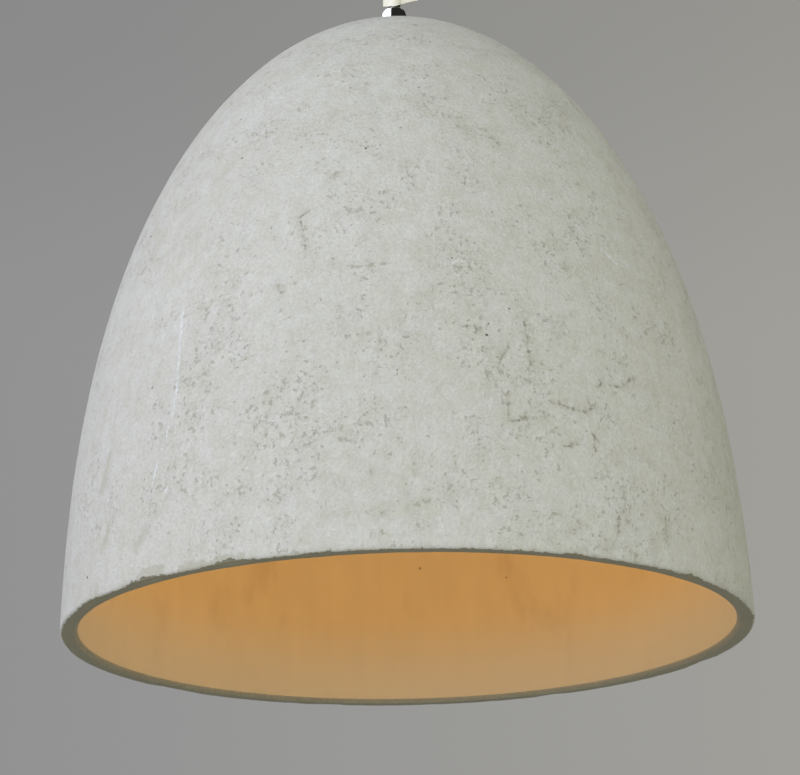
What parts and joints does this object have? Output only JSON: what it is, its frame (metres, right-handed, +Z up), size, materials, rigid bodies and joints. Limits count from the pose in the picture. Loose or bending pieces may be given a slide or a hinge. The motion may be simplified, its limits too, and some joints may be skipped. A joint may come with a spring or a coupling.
{
  "type": "pendant ceiling light",
  "caption": "Pendant ceiling light: deep cast concrete dome, painted inside, hung by a chrome cable gland and a short black flex from a round ceiling rose.",
  "frame": {"origin": "centre of the face of the rose's bracket that lies on the ceiling", "axes": "+Z up, into the ceiling, along the light's axis; the light hangs in -Z; +X along the bracket; -Y towards the lamp side of the terminal block"},
  "size_m": [0.35, 0.35, 0.4995],
  "materials": {
    "concrete": "dry cast concrete, finely pored, with hairline cracks and a bare dark rim",
    "ochre_paint": "flat ochre paint on the inside of the shade, softly mottled",
    "chrome": "polished",
    "zinc_steel": "bright zinc plate",
    "brass": "plain machined",
    "black_rubber": "matt",
    "black_sheath": "smooth, slightly matt flex sheath",
    "white_plastic": "moulded, satin",
    "brown_core": "core insulation",
    "blue_core": "core insulation",
    "earth_core": "core insulation",
    "porcelain": "unglazed technical porcelain",
    "bulb_glass": "clear",
    "black_glass": "opaque moulded glass",
    "tag_paper": "uncoated card",
    "tungsten": "dull wire"
  },
  "bodies": {
    "ceiling": {"ceiling_bracket": "zinc_steel", "core_earth_rose": "earth_core", "core_live_rose": "brown_core", "core_neutral_rose": "blue_core", "earth_lead": "earth_core", "earth_screw": "brass", "flex_in_rose": "black_sheath", "rose_cup": "chrome", "rose_gland_body": "chrome", "rose_gland_dome_nut": "chrome", "rose_gland_seal": "black_rubber", "rose_lock_nut": "zinc_steel", "rose_screw_left": "chrome", "rose_screw_right": "chrome", "rose_tube": "zinc_steel", "terminal_block": "white_plastic", "terminal_clamp_earth": "brass", "terminal_clamp_live": "brass", "terminal_clamp_neutral": "brass", "terminal_screw_earth_lamp": "zinc_steel", "terminal_screw_earth_supply": "zinc_steel", "terminal_screw_live_lamp": "zinc_steel", "terminal_screw_live_supply": "zinc_steel", "terminal_screw_neutral_lamp": "zinc_steel", "terminal_screw_neutral_supply": "zinc_steel"},
    "flex_top": {"flex_upper": "black_sheath"},
    "flex_bottom": {"flex_lower": "black_sheath", "flex_tag": "tag_paper"},
    "shade": {"bottom_gasket": "black_rubber", "bottom_washer": "zinc_steel", "cap_earth_screw": "brass", "cap_grub_screw": "zinc_steel", "core_earth_holder": "earth_core", "core_live_holder": "brown_core", "core_neutral_holder": "blue_core", "flex_tail": "black_sheath", "holder_barrel": "chrome", "holder_cap": "chrome", "holder_insert": "porcelain", "holder_screw_live": "brass", "holder_screw_neutral": "brass", "screw_shell": "brass", "shade": "concrete", "shade_gland_body": "chrome", "shade_gland_dome_nut": "chrome", "shade_gland_seal": "black_rubber", "shade_lock_nut": "zinc_steel", "shell_contact": "brass", "threaded_tube": "zinc_steel", "top_gasket": "black_rubber", "top_washer": "chrome"},
    "contact": {"centre_contact": "brass"},
    "bulb": {"bulb_button": "tungsten", "bulb_insulator": "black_glass", "bulb_cap": "zinc_steel", "bulb_glass": "bulb_glass", "bulb_stem": "bulb_glass", "bulb_lead_left": "tungsten", "bulb_lead_right": "tungsten", "filament": "tungsten"}
  },
  "joints": [
    {"name": "flex_swing", "type": "hinge", "parent": "ceiling", "child": "flex_top", "pos_m": [0, 0, -0.051], "axis": [0, 1, 0], "range_deg": [-20, 20]},
    {"name": "flex_twist", "type": "hinge", "parent": "flex_top", "child": "flex_bottom", "pos_m": [0, 0, -0.086], "axis": [0, 0, 1], "range_deg": [-45, 45], "stiffness_Nm_per_rad": 0.15},
    {"name": "shade_rock", "type": "hinge", "parent": "flex_bottom", "child": "shade", "pos_m": [0, 0, -0.121], "axis": [1, 0, 0], "range_deg": [-15, 15]},
    {"name": "contact_press", "type": "hinge", "parent": "shade", "child": "contact", "pos_m": [0.01, 0, -0.21221], "axis": [0, 1, 0], "range_deg": [0, 6], "stiffness_Nm_per_rad": 0.3},
    {"name": "bulb_out", "type": "slide", "parent": "shade", "child": "bulb", "axis": [0, 0, -1], "range_m": [0, 0.03]}
  ]
}
